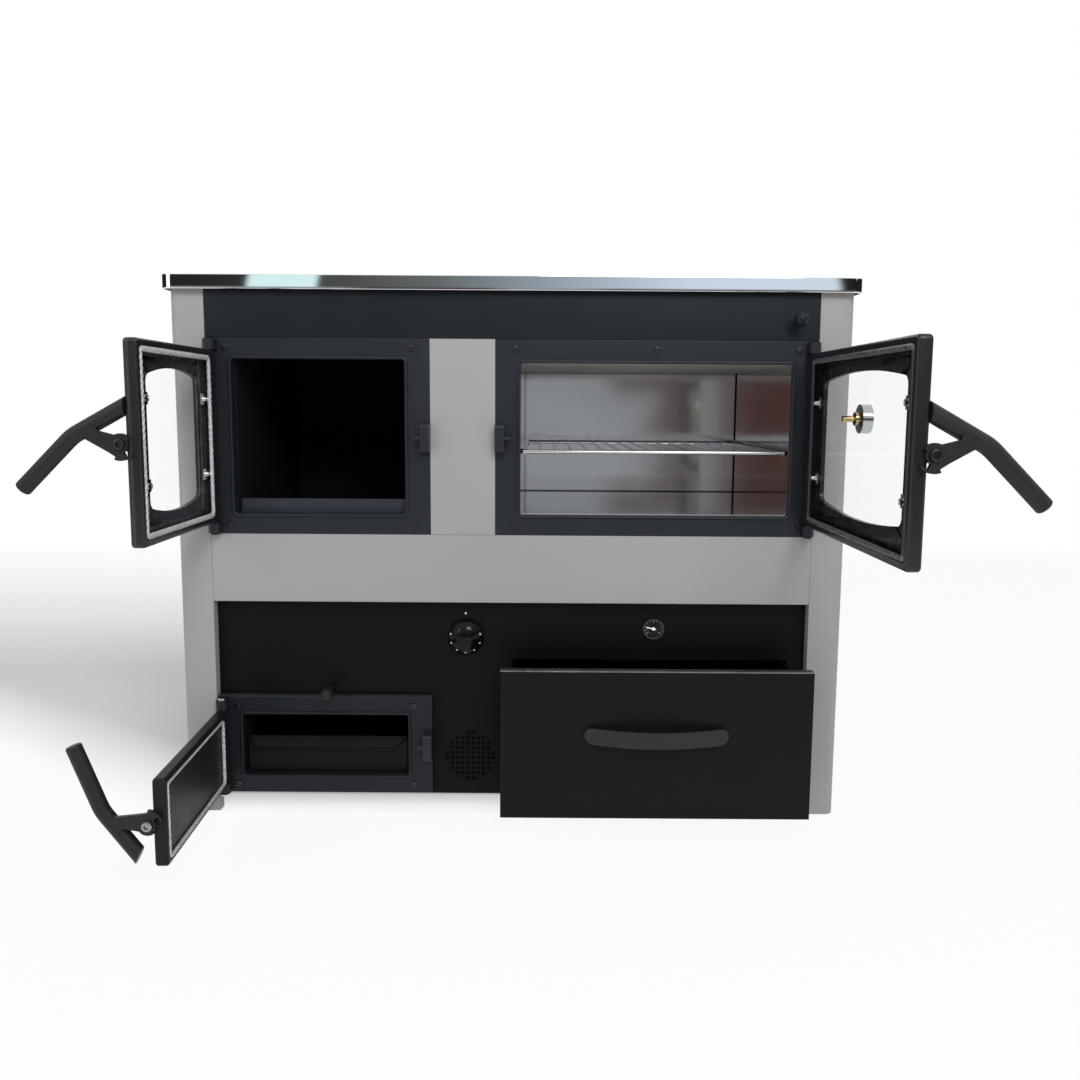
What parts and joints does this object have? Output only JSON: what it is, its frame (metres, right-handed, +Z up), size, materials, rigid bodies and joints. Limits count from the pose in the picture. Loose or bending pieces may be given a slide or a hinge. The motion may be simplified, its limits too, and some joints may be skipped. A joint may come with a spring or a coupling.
{
  "type": "wood cookstove",
  "caption": "Free-standing wood-burning range with a water jacket, glazed firebox and oven doors, ash door with pan, and a pull-out wood drawer.",
  "frame": {"origin": "on the floor, under the middle of the box that holds the stove with its doors open", "axes": "+X to the right seen from the front, +Y to the back, +Z up"},
  "size_m": [1.2156, 1.126, 0.894],
  "materials": {
    "grey_paint": "smooth enamel",
    "dark_paint": "satin anthracite",
    "black_paint": "satin black",
    "polished_rail": "polished",
    "hob_iron": "ground",
    "door_iron": "satin black",
    "handle_paint": "satin dark grey",
    "glass": "clear",
    "rope": "woven",
    "screw_steel": "bright",
    "dark_screw": "blackened",
    "stainless": "polished",
    "chrome": "polished",
    "pointer": "white",
    "boiler_steel": "mill black",
    "zinc_sheet": "zinc plated",
    "knob_plastic": "gloss black"
  },
  "bodies": {
    "casing": {"side_panel_left": "grey_paint", "side_panel_right": "grey_paint", "centre_pillar": "grey_paint", "middle_panel": "grey_paint", "upper_front_panel": "dark_paint", "firebox_frame": "dark_paint", "oven_frame": "dark_paint", "ash_frame": "dark_paint", "latch_keepers": "dark_paint", "lower_panel": "black_paint", "air_grille": "black_paint", "top_rail": "polished_rail", "hob_plate": "hob_iron", "flue_collar": "hob_iron", "log_guard": "hob_iron", "gauge_lens": "glass", "hinge_pins": "screw_steel", "frame_screws": "dark_screw", "oven_box": "stainless", "gauge_case": "chrome", "boiler_jacket": "boiler_steel", "boiler_pipes": "boiler_steel", "ash_chamber": "boiler_steel", "damper_guide": "boiler_steel", "rear_panel": "zinc_sheet", "base_plate": "zinc_sheet", "levelling_feet": "zinc_sheet", "thermostat_body": "knob_plastic"},
    "fire_door": {"firebox_door_casting": "door_iron", "firebox_glass": "glass", "firebox_glass_clips": "screw_steel", "firebox_gasket": "rope", "firebox_handle_screw": "screw_steel"},
    "fire_latch": {"firebox_handle": "handle_paint"},
    "oven_door": {"oven_door_casting": "door_iron", "oven_glass": "glass", "oven_glass_clips": "screw_steel", "oven_gasket": "rope", "oven_handle_screw": "screw_steel", "thermometer_case": "chrome"},
    "oven_latch": {"oven_handle": "handle_paint"},
    "oven_dial": {"thermometer_needle": "pointer"},
    "ash_door": {"ash_door_casting": "door_iron", "ash_gasket": "rope", "ash_handle_screw": "screw_steel"},
    "ash_latch": {"ash_handle": "handle_paint"},
    "ash_tray": {"ash_pan": "black_paint"},
    "wood_drawer": {"drawer_front": "black_paint", "drawer_box": "black_paint", "drawer_handle": "handle_paint"},
    "rack": {"oven_rack": "stainless"},
    "riddle": {"grate": "hob_iron", "shaker_handle": "handle_paint"},
    "damper": {"damper_slide": "boiler_steel", "damper_knob": "dark_paint"},
    "stat": {"thermostat_knob": "knob_plastic"},
    "flap": {"air_flap": "boiler_steel"},
    "boiler_dial": {"gauge_needle": "pointer"},
    "ring": {"hob_ring": "hob_iron"},
    "lid": {"hob_lid": "hob_iron"}
  },
  "joints": [
    {"name": "fire_door_hinge", "type": "hinge", "parent": "casing", "child": "fire_door", "pos_m": [-0.459, -0.09295, 0.606], "axis": [0, 0, -1], "range_deg": [-90, 40]},
    {"name": "fire_latch_turn", "type": "hinge", "parent": "fire_door", "child": "fire_latch", "pos_m": [-0.473, -0.39995, 0.60625], "axis": [0, -1, 0], "range_deg": [0, 46]},
    {"name": "oven_door_hinge", "type": "hinge", "parent": "casing", "child": "oven_door", "pos_m": [0.459, -0.09295, 0.606], "axis": [0, 0, 1], "range_deg": [-90, 40]},
    {"name": "oven_latch_turn", "type": "hinge", "parent": "oven_door", "child": "oven_latch", "pos_m": [0.473, -0.55145, 0.60625], "axis": [0, 1, 0], "range_deg": [0, 46]},
    {"name": "oven_dial_turn", "type": "hinge", "parent": "oven_door", "child": "oven_dial", "pos_m": [0.462, -0.32295, 0.64225], "axis": [-1, 0, 0], "range_deg": [0, 270]},
    {"name": "ash_door_hinge", "type": "hinge", "parent": "casing", "child": "ash_door", "pos_m": [-0.459, -0.08695, 0.113], "axis": [0, 0, -1], "range_deg": [-88, 40]},
    {"name": "ash_latch_turn", "type": "hinge", "parent": "ash_door", "child": "ash_latch", "pos_m": [-0.46228, -0.39425, 0.113], "axis": [-0.0349, 0.9994, 0], "range_deg": [-24, 22]},
    {"name": "ash_tray_slide", "type": "slide", "parent": "casing", "child": "ash_tray", "axis": [0, -1, 0], "range_m": [0, 0.35]},
    {"name": "wood_drawer_slide", "type": "slide", "parent": "casing", "child": "wood_drawer", "axis": [0, -1, 0], "range_m": [-0.082, 0.3]},
    {"name": "rack_slide", "type": "slide", "parent": "casing", "child": "rack", "axis": [0, -1, 0], "range_m": [0, 0.3]},
    {"name": "riddle_slide", "type": "slide", "parent": "casing", "child": "riddle", "axis": [0, -1, 0], "range_m": [0, 0.03]},
    {"name": "damper_slide_out", "type": "slide", "parent": "casing", "child": "damper", "axis": [0, -1, 0], "range_m": [0, 0.08]},
    {"name": "stat_turn", "type": "hinge", "parent": "casing", "child": "stat", "pos_m": [-0.073, -0.06895, 0.289], "axis": [0, 1, 0], "range_deg": [0, 270]},
    {"name": "flap_swing", "type": "hinge", "parent": "casing", "child": "flap", "pos_m": [-0.066, -0.05225, 0.1385], "axis": [1, 0, 0], "range_deg": [0, 40]},
    {"name": "boiler_dial_turn", "type": "hinge", "parent": "casing", "child": "boiler_dial", "pos_m": [0.227, -0.06095, 0.304], "axis": [0, 1, 0], "range_deg": [-57, 213]},
    {"name": "ring_lift", "type": "slide", "parent": "casing", "child": "ring", "axis": [0, 0, 1], "range_m": [0, 0.06]},
    {"name": "lid_lift", "type": "slide", "parent": "ring", "child": "lid", "axis": [0, 0, 1], "range_m": [0, 0.06]}
  ],
  "couplings": [
    {"joint": "flap_swing", "follows": "stat_turn", "ratio": 0.14815}
  ]
}
